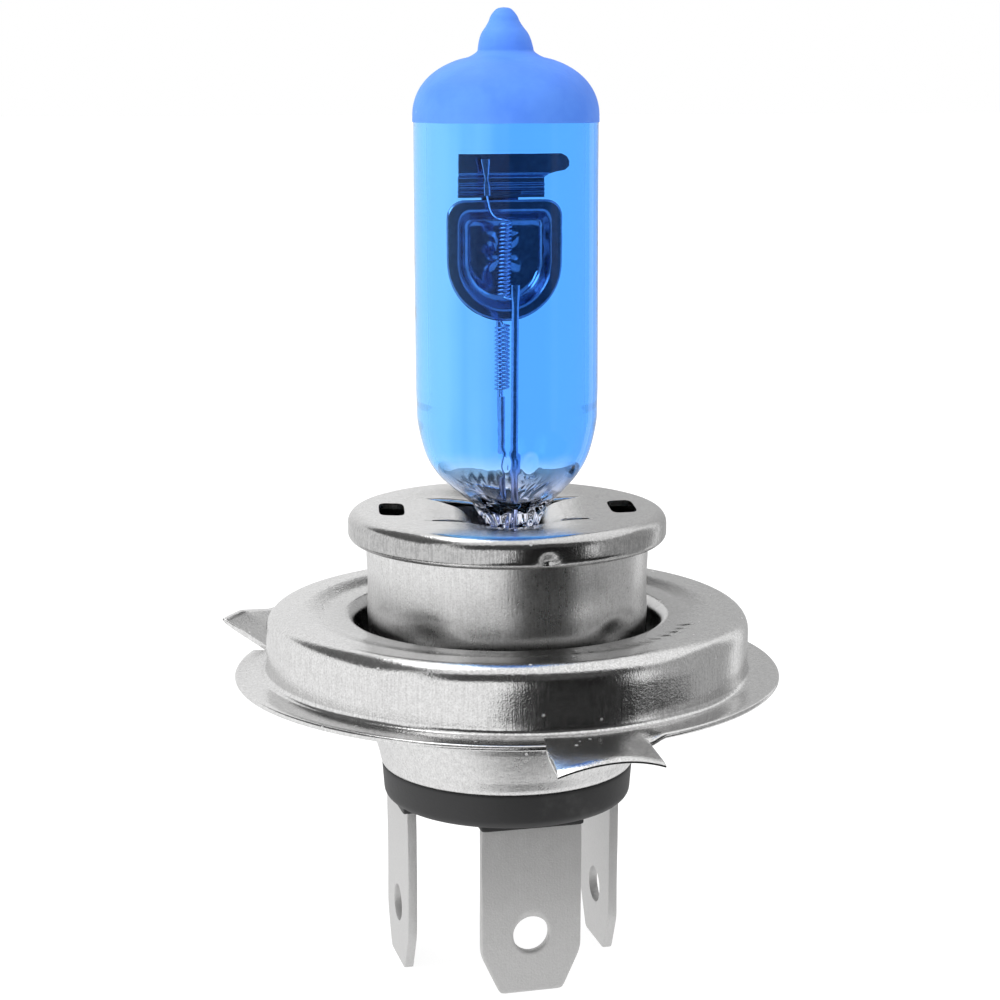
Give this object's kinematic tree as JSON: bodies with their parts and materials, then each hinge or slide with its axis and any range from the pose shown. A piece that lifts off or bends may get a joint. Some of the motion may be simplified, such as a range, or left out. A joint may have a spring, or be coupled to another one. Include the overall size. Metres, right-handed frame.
{
  "type": "headlight bulb",
  "caption": "Halogen headlight bulb: blue-tinted glass tube with painted tip, filaments and shield inside, prefocus ring with locating lugs, and flat blade terminals.",
  "frame": {"origin": "on the lamp axis, at the centre of the insulator's flat underside, which the mating connector closes against", "axes": "+Z along the lamp axis towards the glass tip; -Y is the side of the centre terminal and the front lug; +X is towards the right terminal"},
  "size_m": [0.0437, 0.0459, 0.0755],
  "materials": {
    "blue_quartz": "clear, blue-tinted, polished",
    "blue_paint": "satin heat-resistant paint",
    "molybdenum": "satin",
    "tungsten": "satin",
    "nickel_wire": "satin",
    "nickel_steel": "bright satin plating",
    "black_resin": "matt",
    "tinned_brass": "satin"
  },
  "bodies": {
    "root": {"glass_envelope": "blue_quartz", "anti_glare_coat": "blue_paint", "low_beam_shield": "molybdenum", "shield_bracket": "molybdenum", "filament_clip": "molybdenum", "low_beam_filament": "tungsten", "high_beam_filament": "tungsten", "low_beam_post": "molybdenum", "high_beam_post": "molybdenum", "common_post": "molybdenum", "foil_front": "molybdenum", "foil_middle": "molybdenum", "foil_rear": "molybdenum", "lead_front": "nickel_wire", "lead_middle": "nickel_wire", "lead_rear": "nickel_wire", "clamp_lid": "nickel_steel", "cap_shell": "nickel_steel", "prefocus_ring": "nickel_steel", "terminal_insulator": "black_resin", "terminal_centre": "tinned_brass", "terminal_left": "tinned_brass", "terminal_right": "tinned_brass"}
  },
  "joints": []
}
